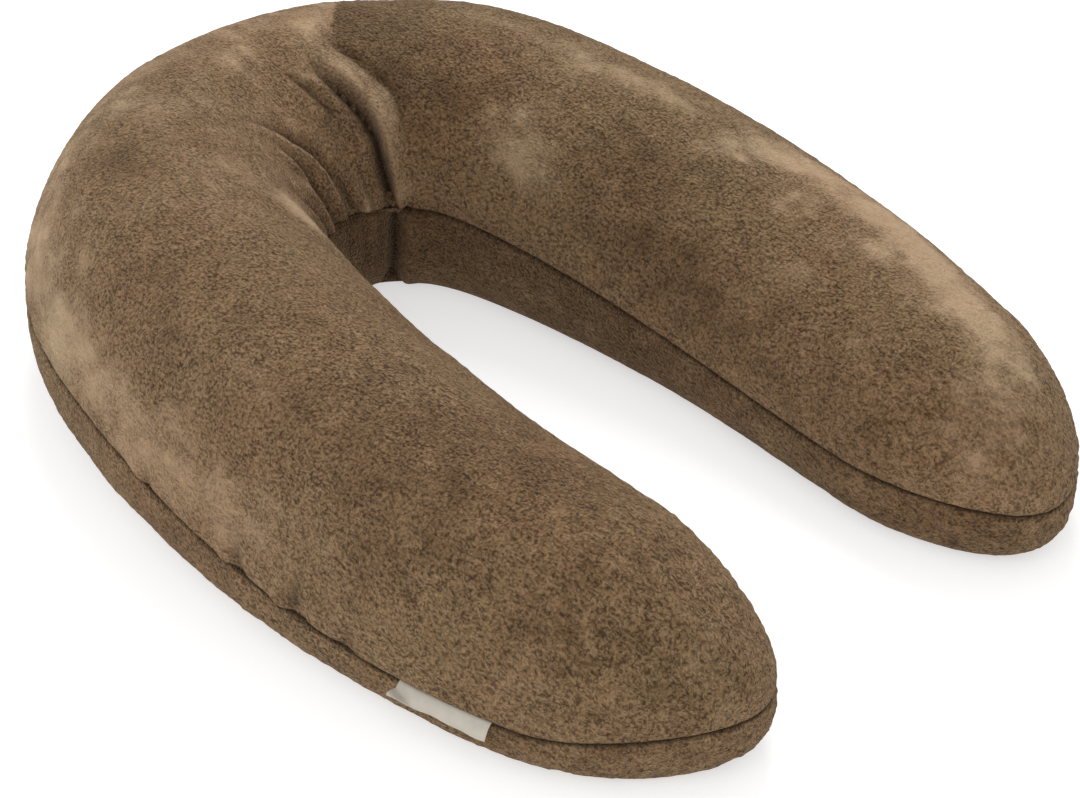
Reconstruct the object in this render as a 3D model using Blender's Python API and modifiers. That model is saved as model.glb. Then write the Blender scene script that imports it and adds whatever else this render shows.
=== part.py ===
"""Nursing pillow: a plush cover with a zip, an inner liner with its own zip, and a bead filling.

The pillow lies on its flat underside at z = 0.  The back of the bend points to +Y, the arms open
towards -Y and the pillow is symmetric about x = 0, apart from zip sliders and labels.
Every soft layer is the same form: a middle line that bends like a U, a cross-section around it
and a rounded tip at each end.  Layers differ in how far they are inset from the outline.
Metres, +Z up.
"""

import math

import bmesh
import bpy
import numpy as np

# ---------------------------------------------------------------- overall form
HALF_LENGTH = 0.696         # middle line, from the back of the bend to one tip
BEND_RADIUS = 0.153         # of the middle line round the bend
ARC_ANGLE = 54.0            # degrees each side of the back that are a true arc
BEND_EASE = 0.121           # length over which the bend eases into the arm
ARM_RADIUS = 0.850          # of the middle line along the arms, which toe in
TIP_LENGTH = 0.112          # rounded end of each arm
HALF_WIDTH_BEND = 0.099
HALF_WIDTH_TIP = 0.0825     # where the rounded end starts
WIDTH_TAPER = 3.6           # exponent: the arms keep their width and then narrow ever faster
HEIGHT_BEND = 0.176
HEIGHT_TIP = 0.127
HEIGHT_TAPER = 1.2          # exponent: the arms get lower almost evenly
SEAM_OUTER_BEND = 0.062     # height of the seam above the floor
SEAM_OUTER_TIP = 0.029
SEAM_INNER_BEND = 0.072
SEAM_INNER_TIP = 0.042
SEAM_TIP = 0.043
CROWN = 1.11                # exponent of the top: 1 is an ellipse
UNDERSIDE_SPREAD = 1.32     # above 1 the underside is flat where it rests

# ---------------------------------------------------------------- layers and seams
COVER_SKIN = 0.0030
LINER_SKIN = 0.0010
TOUCH = 0.0003              # gap between pieces that touch
LINER_SLACK = 0.0020        # between cover and liner over the top
FILL_SLACK = 0.0005         # between liner and beads over the top
COVER_ALLOWANCE = 0.0090    # turned-in edge at the cover's seam
LINER_ALLOWANCE = 0.0060
THREAD_RADIUS = 0.0006
LAYER_CLEARANCE = 0.0018    # between a seam's thread and the next layer's seam

# ---------------------------------------------------------------- zips
ARC_FACETS = 9              # each side of the back, shared by all that lies round the bend
COVER_ZIP_ANGLE = 42.0      # degrees each side of the back, to the nearest facet
LINER_ZIP_ANGLE = 18.0
ZIP_SLOT = 0.0100           # between the panel edges at a zip
ZIP_HEM_MARGIN = 0.0015     # by which the turned-in edge at a zip is deeper than the plush
TAPE_WIDTH = 0.0095
TAPE_THICKNESS = 0.0006
CHAIN_WIDTH = 0.0048
CHAIN_THICKNESS = 0.0018
CHAIN_GAP = 0.0010          # between the two halves, which the slider's neck runs in
STOP_ANGLE = 0.35           # degrees that an end stop takes up
SLIDER_LENGTH = 0.0120
SLIDER_SIDE_CLEARANCE = 0.0006
SLIDER_PLATE = 0.0012
SLIDER_LIP = 0.0011
SLIDER_NECK = 0.0004
SLIDER_CLEARANCE = 0.0007   # to chain and tape, which are faceted round the bend
BAIL_LENGTH = 0.0080
BAIL_BAR = 0.0010
BAIL_HALF_WIDTH = 0.0006
BAIL_CLEARANCE = 0.00036    # round the pull tab's cross bar as it turns under the bail
PULL_LENGTH = 0.0240
PULL_HALF_WIDTH = 0.0030
PULL_THICKNESS = 0.0009
PULL_SLOT_SIDE = 0.0006     # clearance beside the bail
PULL_SLOT_SWING = 0.0011    # clearance to the bail's corners as the tab turns

# ---------------------------------------------------------------- labels
BRAND_LABEL_PLACE = -0.547  # along the middle line, on the outer seam
BRAND_LABEL_LENGTH = 0.060
BRAND_LABEL_DROP = 0.0130
BRAND_LABEL_SPLAY = 0.0030  # its free edge stands out from the wall
BRAND_LABEL_TUCK = 0.0060   # sewn into the seam
CARE_LABEL_PLACE = 0.215
CARE_LABEL_LENGTH = 0.030
CARE_LABEL_DROP = 0.017
CARE_LABEL_BACK = 0.0010    # from the free edge of the turned-in plush
LABEL_THICKNESS = 0.0003

# ---------------------------------------------------------------- worked out
TABLE_STEPS = 2400
ROW_ANGLE = ARC_ANGLE / ARC_FACETS
SEAM_GAP = LABEL_THICKNESS + 2 * TOUCH          # between the two turned-in edges
ZIP_HEM = COVER_SKIN + ZIP_HEM_MARGIN
SLIDER_HALF_WIDTH = 0.5 * ZIP_SLOT - SLIDER_SIDE_CLEARANCE
BAIL_ROOM = math.sqrt(2.0) * PULL_THICKNESS + 2 * BAIL_CLEARANCE
PULL_SLOT_HALF_WIDTH = BAIL_HALF_WIDTH + PULL_SLOT_SIDE
PULL_SLOT_END = math.hypot(0.5 * BAIL_LENGTH, 0.5 * BAIL_ROOM + BAIL_BAR) + PULL_SLOT_SWING
ARC_LENGTH = math.radians(ARC_ANGLE) * BEND_RADIUS
BODY_END = HALF_LENGTH - TIP_LENGTH
OUTER_RADIUS = BEND_RADIUS + HALF_WIDTH_BEND
LINER_INSET = COVER_ALLOWANCE + TOUCH + 2 * THREAD_RADIUS + LAYER_CLEARANCE
FILL_INSET = LINER_INSET + LINER_ALLOWANCE + TOUCH + 2 * THREAD_RADIUS + LAYER_CLEARANCE

PLUSH_BROWN = (0.18, 0.115, 0.064)
LINER_WHITE = (0.80, 0.79, 0.75)
BEAD_WHITE = (0.86, 0.86, 0.85)
ZIP_BROWN = (0.10, 0.062, 0.034)
LABEL_WHITE = (0.72, 0.71, 0.66)
CARE_WHITE = (0.84, 0.84, 0.82)
ZINC = (0.55, 0.54, 0.52)


# ---------------------------------------------------------------- the form
def running_sum(values, step):
    """Integral of evenly spaced values by the trapezium rule, starting at 0."""
    return np.concatenate(([0.0], np.cumsum(0.5 * (values[1:] + values[:-1])) * step))


def middle_line():
    """Table of the middle line from the back of the bend to one tip: s, heading, x, y."""
    s = np.linspace(0.0, HALF_LENGTH, TABLE_STEPS)
    fall = np.clip((s - ARC_LENGTH) / BEND_EASE, 0.0, 1.0)
    ease = 0.5 * (1.0 + np.cos(math.pi * fall))
    curvature = 1.0 / ARM_RADIUS + (1.0 / BEND_RADIUS - 1.0 / ARM_RADIUS) * ease
    heading = running_sum(curvature, s[1])
    x = running_sum(np.cos(heading), s[1])
    y = -running_sum(np.sin(heading), s[1])
    return s, heading, x, y


LINE_S, LINE_HEADING, LINE_X, LINE_Y = middle_line()


def plan_point(s, offset):
    """Point beside the middle line; offset is positive towards the outside of the bend."""
    side = -1.0 if s < 0 else 1.0
    reach = abs(s)
    heading = np.interp(reach, LINE_S, LINE_HEADING)
    x = np.interp(reach, LINE_S, LINE_X) + offset * math.sin(heading)
    y = np.interp(reach, LINE_S, LINE_Y) + offset * math.cos(heading)
    return side * x, y


def smooth(t):
    t = min(max(t, 0.0), 1.0)
    return t * t * (3.0 - 2.0 * t)


def down_the_arm(s):
    """0 round the arc, 1 where the rounded end starts and more inside it."""
    return max((abs(s) - ARC_LENGTH) / (BODY_END - ARC_LENGTH), 0.0)


def half_width(s):
    return HALF_WIDTH_BEND + (HALF_WIDTH_TIP - HALF_WIDTH_BEND) * down_the_arm(s) ** WIDTH_TAPER


def height(s):
    return HEIGHT_BEND + (HEIGHT_TIP - HEIGHT_BEND) * down_the_arm(s) ** HEIGHT_TAPER


def seam_height(s, across):
    """Height of the seam's surface; across is -1 at the inner seam and 1 at the outer."""
    down = smooth(down_the_arm(s))
    outer = SEAM_OUTER_BEND + (SEAM_OUTER_TIP - SEAM_OUTER_BEND) * down
    inner = SEAM_INNER_BEND + (SEAM_INNER_TIP - SEAM_INNER_BEND) * down
    tip = smooth((abs(s) - BODY_END) / TIP_LENGTH)
    outer += (SEAM_TIP - outer) * tip
    inner += (SEAM_TIP - inner) * tip
    return outer * 0.5 * (1.0 + across) + inner * 0.5 * (1.0 - across)


def tips_lowest_y():
    """Lowest y of the outline round a tip, with the middle line's own origin."""
    turns = np.linspace(0.0, math.pi, 721)
    places = [BODY_END + TIP_LENGTH * math.sin(a) for a in turns]
    return min(plan_point(s, half_width(s) * math.cos(a))[1] for s, a in zip(places, turns))


# Shift that puts the origin in the middle of the outline's depth
MIDDLE_Y = -0.5 * (HALF_WIDTH_BEND + tips_lowest_y())
BEND_CENTRE_Y = MIDDLE_Y - BEND_RADIUS


class Layer:
    """One soft layer: how far it lies inside the cover's outline and how its edges are made."""

    def __init__(self, inset, top_drop, floor, skin, allowance, zip_angle, columns, arm_rows, tip_rows):
        self.inset = inset
        self.top_drop = top_drop
        self.floor = floor
        self.skin = skin
        self.allowance = allowance
        self.zip_angle = round(zip_angle / ROW_ANGLE) * ROW_ANGLE
        self.columns = columns
        self.rows = half_rows(arm_rows, tip_rows)
        self.tip_rows = tip_rows

    def row(self, index):
        """Place of a row: s on the middle line, depth into the tip (0 to 1) and side."""
        s, depth = self.rows[abs(index)]
        side = -1.0 if index < 0 else 1.0
        return side * s, depth, side

    def at_zip(self, index, across, extra=0.0):
        s, depth, _ = self.row(index)
        angle = math.degrees(abs(s) / BEND_RADIUS)
        return across > 0.999 and depth == 0 and angle < self.zip_angle + extra + 0.01

    def edge_lift(self, index, across):
        return 0.5 * (ZIP_SLOT if self.at_zip(index, across) else SEAM_GAP)

    def turned_in(self, index, across):
        return ZIP_HEM if self.at_zip(index, across, ROW_ANGLE) else self.allowance

    def spot(self, index, across, extra_inset=0.0):
        """Plan position, seam height, total height and rise (0 at the seam, 1 in the middle)."""
        s, depth, side = self.row(index)
        forward = depth * math.sqrt(1.0 - 0.5 * across ** 2)
        sideways = across * math.sqrt(1.0 - 0.5 * depth ** 2)
        radius = math.hypot(forward, sideways)
        if radius > 0:
            spread = math.sin(0.5 * math.pi * radius) / radius
            forward *= spread
            sideways *= spread
        inset = self.inset + extra_inset
        s += side * (TIP_LENGTH - inset) * forward
        x, y = plan_point(s, (half_width(s) - inset) * sideways)
        rise = max(math.cos(0.5 * math.pi * radius), 0.0)
        return x, y + MIDDLE_Y, seam_height(s, sideways), height(s), rise

    def surface(self, index, across, upper):
        x, y, seam, total, rise = self.spot(index, across)
        if upper:
            z = seam + (total - self.top_drop - seam) * rise ** CROWN
        else:
            z = seam - (seam - self.floor) * min(1.0, UNDERSIDE_SPREAD * math.sqrt(rise))
        return x, y, z


def half_rows(arm_rows, tip_rows):
    """Rows of one half: even steps of angle round the arc, even lengths along the arm, the tip."""
    rows = [(math.radians(k * ROW_ANGLE) * BEND_RADIUS, 0.0) for k in range(ARC_FACETS)]
    rows += [(ARC_LENGTH + (BODY_END - ARC_LENGTH) * k / arm_rows, 0.0) for k in range(arm_rows + 1)]
    rows += [(BODY_END, (k + 1) / tip_rows) for k in range(tip_rows)]
    return rows


COVER = Layer(0.0, 0.0, 0.0, COVER_SKIN, COVER_ALLOWANCE, COVER_ZIP_ANGLE, 10, 11, 4)
LINER = Layer(LINER_INSET, COVER_SKIN + LINER_SLACK, COVER_SKIN + TOUCH, LINER_SKIN,
              LINER_ALLOWANCE, LINER_ZIP_ANGLE, 8, 8, 4)
FILLING = Layer(FILL_INSET, COVER_SKIN + LINER_SLACK + LINER_SKIN + FILL_SLACK,
                COVER_SKIN + LINER_SKIN + 2 * TOUCH, 0.0, 0.0, 0.0, 8, 8, 4)


# ---------------------------------------------------------------- scene and materials
def clear_scene():
    for item in list(bpy.data.objects):
        bpy.data.objects.remove(item, do_unlink=True)


def new_collection(name):
    group = bpy.data.collections.new(name)
    bpy.context.scene.collection.children.link(group)
    return group


def new_material(name, colour, roughness, metallic=0.0):
    material = bpy.data.materials.new(name)
    material.use_nodes = True
    shader = material.node_tree.nodes["Principled BSDF"]
    shader.inputs["Base Color"].default_value = (*colour, 1.0)
    shader.inputs["Roughness"].default_value = roughness
    shader.inputs["Metallic"].default_value = metallic
    return material


def make_materials():
    return {
        "plush": new_material("plush", PLUSH_BROWN, 0.95),
        "liner": new_material("liner_cotton", LINER_WHITE, 0.85),
        "beads": new_material("beads", BEAD_WHITE, 0.70),
        "tape": new_material("zip_tape", ZIP_BROWN, 0.80),
        "coil": new_material("zip_coil", ZIP_BROWN, 0.45),
        "metal": new_material("zinc", ZINC, 0.35, 1.0),
        "thread": new_material("thread", PLUSH_BROWN, 0.75),
        "label": new_material("woven_label", LABEL_WHITE, 0.80),
        "satin": new_material("satin_label", CARE_WHITE, 0.55),
    }


def new_object(name, mesh, group, material):
    item = bpy.data.objects.new(name, mesh)
    group.objects.link(item)
    item.data.materials.append(material)
    return item


def finish_mesh(form, name, smooth_angle=35.0):
    """Turns a bmesh into a mesh that is shaded smooth except at its sharp edges."""
    mesh = bpy.data.meshes.new(name)
    form.to_mesh(mesh)
    form.free()
    mesh.shade_smooth()
    mesh.set_sharp_from_angle(angle=math.radians(smooth_angle))
    return mesh


def thicken(item, thickness):
    """Gives an open surface its thickness, on the side away from its normals."""
    solidify = item.modifiers.new("thickness", "SOLIDIFY")
    solidify.thickness = thickness
    solidify.offset = -1.0
    solidify.use_even_offset = True


# ---------------------------------------------------------------- panels and filling
def grid_vertices(form, layer, upper):
    """Adds a flat grid for one panel; returns each vertex with its row and place across."""
    rows = len(layer.rows) - 1
    made = bmesh.ops.create_grid(form, x_segments=layer.columns, y_segments=2 * rows, size=1.0)
    turn = -1.0 if upper else 1.0
    places = {}
    for vertex in made["verts"]:
        places[vertex] = (round(vertex.co.y * rows), round(turn * vertex.co.x, 6))
    return places


def make_panel(name, layer, upper, group, material):
    """One panel of a cover: a dome or a tray with its edges turned in at the seam."""
    form = bmesh.new()
    places = grid_vertices(form, layer, upper)
    lift_side = 1.0 if upper else -1.0
    border = [edge for edge in form.edges if edge.is_boundary]
    rim = bmesh.ops.extrude_edge_only(form, edges=border)
    partners = {}
    for vertex in [v for v in rim["geom"] if isinstance(v, bmesh.types.BMVert)]:
        for edge in vertex.link_edges:
            other = edge.other_vert(vertex)
            if other in places:
                partners[vertex] = places[other]
    for vertex, (index, across) in places.items():
        x, y, z = layer.surface(index, across, upper)
        if vertex.is_boundary or any(e.other_vert(vertex) in partners for e in vertex.link_edges):
            z += lift_side * layer.edge_lift(index, across)
        vertex.co = (x, y, z)
    for vertex, (index, across) in partners.items():
        x, y, seam, _, _ = layer.spot(index, across, layer.turned_in(index, across))
        vertex.co = (x, y, layer.spot(index, across)[2] + lift_side * layer.edge_lift(index, across))
    form.normal_update()
    panel = new_object(name, finish_mesh(form, name), group, material)
    thicken(panel, layer.skin)
    return panel


def make_filling(name, layer, group, material):
    """The loose beads as one closed body that fills the liner."""
    form = bmesh.new()
    for upper in (True, False):
        for vertex, (index, across) in grid_vertices(form, layer, upper).items():
            vertex.co = layer.surface(index, across, upper)
    bmesh.ops.remove_doubles(form, verts=form.verts, dist=0.00001)
    return new_object(name, finish_mesh(form, name), group, material)


# ---------------------------------------------------------------- seam threads
def seam_route(layer, start_row):
    """Rows and places across of the seam, from one end of the zip round both arms to the other."""
    last = len(layer.rows) - 1
    halves = layer.columns // 2
    steps = [1.0 - k / halves for k in range(1, 2 * halves)]
    route = [(index, 1.0) for index in range(start_row, last + 1)]
    route += [(last, across) for across in steps]
    route += [(index, -1.0) for index in range(last, -last - 1, -1)]
    route += [(-last, across) for across in reversed(steps)]
    route += [(index, 1.0) for index in range(-last, -start_row + 1)]
    return route


def make_seam_thread(name, layer, group, material):
    """The overlocked thread along the turned-in edges, everywhere but at the zip."""
    start_row = round(layer.zip_angle / ROW_ANGLE) + 2
    reach = layer.allowance + TOUCH + THREAD_RADIUS
    points = []
    for index, across in seam_route(layer, start_row):
        x, y, _, _, _ = layer.spot(index, across, reach)
        points.append((x, y, layer.spot(index, across)[2]))
    curve = bpy.data.curves.new(name, "CURVE")
    curve.dimensions = "3D"
    curve.bevel_depth = THREAD_RADIUS
    curve.bevel_resolution = 0
    curve.use_fill_caps = True
    spline = curve.splines.new("POLY")
    spline.points.add(len(points) - 1)
    for point, place in zip(spline.points, points):
        point.co = (*place, 1.0)
    return new_object(name, curve, group, material)


# ---------------------------------------------------------------- strips round the bend
def bend_point(angle, radius, z):
    """Point on the bend; the angle is in degrees from the back, positive towards +X."""
    turn = math.radians(angle)
    return radius * math.sin(turn), BEND_CENTRE_Y + radius * math.cos(turn), z


def facet_angles(first, last):
    """Angles from first to last that stop at each facet edge of the bend."""
    inner = np.arange(math.floor(first / ROW_ANGLE) + 1, math.ceil(last / ROW_ANGLE)) * ROW_ANGLE
    return [first] + [float(a) for a in inner] + [last]


def facet_radius(angle, radius):
    """Radius at an angle on the facet between two facet edges that lie on the given radius."""
    middle = (math.floor(angle / ROW_ANGLE) + 0.5) * ROW_ANGLE
    half = math.radians(0.5 * ROW_ANGLE)
    on_edge = abs(angle / ROW_ANGLE - round(angle / ROW_ANGLE)) < 1e-6
    return radius if on_edge else radius * math.cos(half) / math.cos(math.radians(angle - middle))


def make_bend_strip(name, first, last, outer_radius, thickness, z_low, z_high, group, material):
    """A strip standing on edge round the bend, such as a zip tape."""
    angles = facet_angles(first, last)
    form = bmesh.new()
    made = bmesh.ops.create_grid(form, x_segments=len(angles) - 1, y_segments=1, size=1.0)
    for vertex in made["verts"]:
        angle = angles[round((1.0 - vertex.co.x) * 0.5 * (len(angles) - 1))]
        z = z_high if vertex.co.y > 0 else z_low
        vertex.co = bend_point(angle, facet_radius(angle, outer_radius), z)
    form.normal_update()
    strip = new_object(name, finish_mesh(form, name), group, material)
    thicken(strip, thickness)
    return strip


def make_block(name, group, material, low, high):
    """A box between two corners."""
    form = bmesh.new()
    bmesh.ops.create_cube(form, size=1.0)
    for vertex in form.verts:
        vertex.co = [low[k] + (vertex.co[k] + 0.5) * (high[k] - low[k]) for k in range(3)]
    return new_object(name, finish_mesh(form, name), group, material)


def turn_to_bend(item, angle, z):
    """Puts the item's origin on the bend's axis and turns its +Y to an angle from the back."""
    item.location = (0.0, BEND_CENTRE_Y, z)
    item.rotation_euler = (0.0, 0.0, -math.radians(angle))


def combine(item, tool, operation):
    """Joins a tool to the item, or cuts it away, with a Boolean; the tool itself stays hidden."""
    tool.parent = item
    tool.hide_render = True
    tool.display_type = "WIRE"
    step = item.modifiers.new(tool.name, "BOOLEAN")
    step.operation = operation
    step.object = tool


# ---------------------------------------------------------------- zips
class ZipStack:
    """Radii of a zip's layers, from the seam's outline inwards, and its angles along the bend."""

    def __init__(self, layer):
        self.outline = OUTER_RADIUS - layer.inset
        self.tape = self.outline - ZIP_HEM - TOUCH
        self.chain_back = self.tape + TOUCH
        self.chain_front = self.chain_back + CHAIN_THICKNESS
        self.plate_back = self.chain_front + SLIDER_CLEARANCE
        self.plate_front = self.plate_back + SLIDER_PLATE
        self.inner_front = self.tape - TAPE_THICKNESS - SLIDER_CLEARANCE
        self.inner_back = self.inner_front - SLIDER_PLATE
        self.chain_end = layer.zip_angle - 1.0
        self.tape_end = layer.zip_angle + ROW_ANGLE
        half_slider = math.degrees(0.5 * SLIDER_LENGTH / self.outline)
        self.closed_angle = self.chain_end - half_slider - 0.5
        self.z = SEAM_OUTER_BEND


def make_zip_halves(prefix, stack, group, materials):
    """Both tapes and both halves of the chain."""
    low = 0.5 * CHAIN_GAP
    for half, side in (("upper", 1.0), ("lower", -1.0)):
        tape = sorted((stack.z + side * low, stack.z + side * TAPE_WIDTH))
        chain = sorted((stack.z + side * low, stack.z + side * 0.5 * CHAIN_WIDTH))
        make_bend_strip(f"{prefix}_tape_{half}", -stack.tape_end, stack.tape_end, stack.tape,
                        TAPE_THICKNESS, *tape, group, materials["tape"])
        make_bend_strip(f"{prefix}_coil_{half}", -stack.chain_end, stack.chain_end, stack.chain_front,
                        CHAIN_THICKNESS, *chain, group, materials["coil"])


def make_zip_stops(prefix, stack, group, materials):
    """One stop across both halves at the open end and one on each half at the closed end."""
    reach = 0.5 * CHAIN_WIDTH + 0.0003
    near = stack.chain_end + 0.1
    far = near + STOP_ANGLE
    spans = {
        "stop_open_end": (-far, -near, -reach, reach),
        "stop_closed_upper": (near, far, 0.5 * CHAIN_GAP, reach),
        "stop_closed_lower": (near, far, -reach, -0.5 * CHAIN_GAP),
    }
    for name, (first, last, low, high) in spans.items():
        make_bend_strip(f"{prefix}_{name}", first, last, stack.chain_front, CHAIN_THICKNESS,
                        stack.z + low, stack.z + high, group, materials["metal"])


def make_slider(prefix, stack, with_bail, group, cutters, metal):
    """The slider: a front plate with lips, a back plate and the neck between them."""
    name = f"{prefix}_slider"
    half = 0.5 * SLIDER_LENGTH
    width = SLIDER_HALF_WIDTH
    slider = make_block(name, group, metal, (-half, stack.plate_back, -width),
                        (half, stack.plate_front, width))
    lip_back = stack.tape + SLIDER_CLEARANCE
    overlap = 0.5 * SLIDER_PLATE
    parts = {
        "lip_upper": ((-half, lip_back, width - SLIDER_LIP), (half, stack.plate_front - overlap, width)),
        "lip_lower": ((-half, lip_back, -width), (half, stack.plate_front - overlap, SLIDER_LIP - width)),
        "back_plate": ((-half, stack.inner_back, -width), (half, stack.inner_front, width)),
        "neck": ((0.4 * half, stack.inner_back + overlap, -0.5 * SLIDER_NECK),
                 (0.9 * half, stack.plate_front - overlap, 0.5 * SLIDER_NECK)),
    }
    for part, (low, high) in parts.items():
        combine(slider, make_block(f"{name}_{part}", cutters, metal, low, high), "UNION")
    if with_bail:
        top = stack.plate_front + BAIL_ROOM + BAIL_BAR
        reach = 0.5 * BAIL_LENGTH
        bail = make_block(f"{name}_bail", cutters, metal,
                          (-reach, stack.plate_front - overlap, -BAIL_HALF_WIDTH), (reach, top, BAIL_HALF_WIDTH))
        combine(slider, bail, "UNION")
        room = make_block(f"{name}_bail_room", cutters, metal,
                          (-reach + 1.4 * BAIL_BAR, stack.plate_front, -2 * BAIL_HALF_WIDTH),
                          (reach - 1.4 * BAIL_BAR, top - BAIL_BAR, 2 * BAIL_HALF_WIDTH))
        combine(slider, room, "DIFFERENCE")
    turn_to_bend(slider, stack.closed_angle, stack.z)
    return slider


def make_pull_tab(prefix, stack, slider, group, cutters, metal):
    """The pull tab, which lies back over the closed chain; its cross bar turns under the bail."""
    name = f"{prefix}_pull_tab"
    half = 0.5 * PULL_THICKNESS
    tab = make_block(name, group, metal, (-PULL_LENGTH, -half, -PULL_HALF_WIDTH), (half, half, PULL_HALF_WIDTH))
    slot = make_block(f"{name}_slot", cutters, metal,
                      (-PULL_SLOT_END, -2 * half, -PULL_SLOT_HALF_WIDTH), (-half, 2 * half, PULL_SLOT_HALF_WIDTH))
    combine(tab, slot, "DIFFERENCE")
    hinge = bpy.data.objects.new(f"{name}_axis", None)
    group.objects.link(hinge)
    hinge.parent = slider
    hinge.location = (0.0, stack.plate_front + 0.5 * BAIL_ROOM, 0.0)
    tab.parent = hinge
    return tab


# ---------------------------------------------------------------- labels
def seam_stations(first, last):
    """Places along the middle line from first to last that stop at each row of the cover."""
    rows = len(COVER.rows) - 1
    breaks = sorted(COVER.row(index)[0] for index in range(-rows, rows + 1) if COVER.row(index)[1] == 0)
    return [first] + [s for s in breaks if first < s < last] + [last]


def outer_seam_point(place, outwards):
    """Point by the outer seam, on the straight facet between the two rows that it lies between."""
    rows = len(COVER.rows) - COVER.tip_rows - 1
    places = [COVER.row(index)[0] for index in range(-rows, rows + 1)]
    spots = np.array([COVER.spot(index, 1.0, -outwards)[:3] for index in range(-rows, rows + 1)])
    return [float(np.interp(place, places, spots[:, axis])) for axis in range(3)]


def make_seam_strip(name, place, length, profile, group, material):
    """A label along the outer seam; its profile is a list of (outwards, upwards) from the seam."""
    stations = seam_stations(place - 0.5 * length, place + 0.5 * length)
    form = bmesh.new()
    made = bmesh.ops.create_grid(form, x_segments=len(stations) - 1, y_segments=len(profile) - 1, size=1.0)
    for vertex in made["verts"]:
        s = stations[round((vertex.co.x + 1.0) * 0.5 * (len(stations) - 1))]
        outwards, upwards = profile[round((vertex.co.y + 1.0) * 0.5 * (len(profile) - 1))]
        x, y, z = outer_seam_point(s, outwards)
        vertex.co = (x, y, z + upwards)
    form.normal_update()
    strip = new_object(name, finish_mesh(form, name), group, material)
    thicken(strip, LABEL_THICKNESS)
    strip.modifiers["thickness"].offset = 0.0
    return strip


def make_labels(group, materials):
    """The blank woven label in the outer seam and the care label under the seam inside."""
    out = 0.0008
    brand = [(-BRAND_LABEL_TUCK, 0.0), (out, 0.0), (out + 0.4 * BRAND_LABEL_SPLAY, -0.0015),
             (out + BRAND_LABEL_SPLAY, -BRAND_LABEL_DROP)]
    make_seam_strip("brand_label", BRAND_LABEL_PLACE, BRAND_LABEL_LENGTH, brand, group, materials["label"])
    hang = COVER_ALLOWANCE - CARE_LABEL_BACK
    top = -0.5 * SEAM_GAP - COVER_SKIN - TOUCH - 0.5 * LABEL_THICKNESS
    care = [(-hang, top - CARE_LABEL_DROP), (-hang, top)]
    make_seam_strip("care_label", CARE_LABEL_PLACE, CARE_LABEL_LENGTH, care, group, materials["satin"])


# ---------------------------------------------------------------- assembly
def build_pillow():
    clear_scene()
    group = new_collection("nursing_pillow")
    cutters = new_collection("cutters")
    materials = make_materials()
    for prefix, layer, fabric in (("cover", COVER, "plush"), ("liner", LINER, "liner")):
        make_panel(f"{prefix}_top_panel", layer, True, group, materials[fabric])
        make_panel(f"{prefix}_bottom_panel", layer, False, group, materials[fabric])
        make_seam_thread(f"{prefix}_seam_thread", layer, group, materials["thread"])
        stack = ZipStack(layer)
        make_zip_halves(f"{prefix}_zip", stack, group, materials)
        make_zip_stops(f"{prefix}_zip", stack, group, materials)
        slider = make_slider(f"{prefix}_zip", stack, prefix == "cover", group, cutters, materials["metal"])
        if prefix == "cover":
            make_pull_tab(f"{prefix}_zip", stack, slider, group, cutters, materials["metal"])
    make_filling("bead_filling", FILLING, group, materials["beads"])
    make_labels(group, materials)


build_pillow()
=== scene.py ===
"""The nursing pillow's look: plush cover with its folds and nap, seam, zips, labels, liner and beads.

The plan form, heights and layers repeat the numbers of the CAD model; metres, +Z up, back of the
bend to +Y.  A place on the pillow is (s, across): s runs along the middle line from the back of the
bend, negative in the near arm, and across runs from -1 at the inner seam to 1 at the outer seam.
"""

import math

import bmesh
import bpy
import numpy as np
from mathutils import Matrix, Vector


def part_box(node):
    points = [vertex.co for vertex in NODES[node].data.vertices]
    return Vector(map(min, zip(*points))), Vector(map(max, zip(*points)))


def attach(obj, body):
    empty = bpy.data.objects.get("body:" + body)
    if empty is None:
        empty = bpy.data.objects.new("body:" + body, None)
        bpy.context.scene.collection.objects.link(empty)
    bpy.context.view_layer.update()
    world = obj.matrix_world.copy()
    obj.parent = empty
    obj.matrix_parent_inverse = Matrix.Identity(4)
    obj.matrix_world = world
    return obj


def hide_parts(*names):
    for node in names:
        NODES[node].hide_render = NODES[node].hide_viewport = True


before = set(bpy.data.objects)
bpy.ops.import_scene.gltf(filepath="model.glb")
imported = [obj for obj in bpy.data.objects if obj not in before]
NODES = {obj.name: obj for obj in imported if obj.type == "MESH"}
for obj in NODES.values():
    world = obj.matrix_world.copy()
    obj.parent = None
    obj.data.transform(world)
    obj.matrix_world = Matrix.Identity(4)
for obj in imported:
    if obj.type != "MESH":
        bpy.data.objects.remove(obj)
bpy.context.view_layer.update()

# ---------------------------------------------------------------- numbers shared with the CAD model
HALF_LENGTH, BEND_RADIUS, ARC_ANGLE, BEND_EASE = 0.696, 0.153, 54.0, 0.121
ARM_RADIUS, TIP_LENGTH = 0.850, 0.112
HALF_WIDTHS = (0.099, 0.0825, 3.6)         # round the bend, where the tip starts, exponent between
HEIGHTS = (0.176, 0.127, 1.2)
SEAM_OUTER = (0.062, 0.029)
SEAM_INNER = (0.072, 0.042)
SEAM_TIP, CROWN, UNDERSIDE_SPREAD = 0.043, 1.11, 1.32
COVER_SKIN, LINER_SKIN = 0.0030, 0.0010
SEAM_GAP, ZIP_SLOT, ZIP_HEM = 0.0009, 0.0100, 0.0045
LINER_INSET, FILL_INSET = 0.0123, 0.0216
ARC_LENGTH = math.radians(ARC_ANGLE) * BEND_RADIUS
BODY_END = HALF_LENGTH - TIP_LENGTH
MIDDLE_Y, BEND_CENTRE_Y = 0.2519737, 0.0989737
BRAND_LABEL_PLACE, BRAND_LABEL_LENGTH, BRAND_LABEL_DROP = -0.547, 0.060, 0.0130

HALF_GIRTH = 0.155                      # from the top of a panel round to its seam, about
FINE = 1.0       # coarser meshes while trying things


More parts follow.
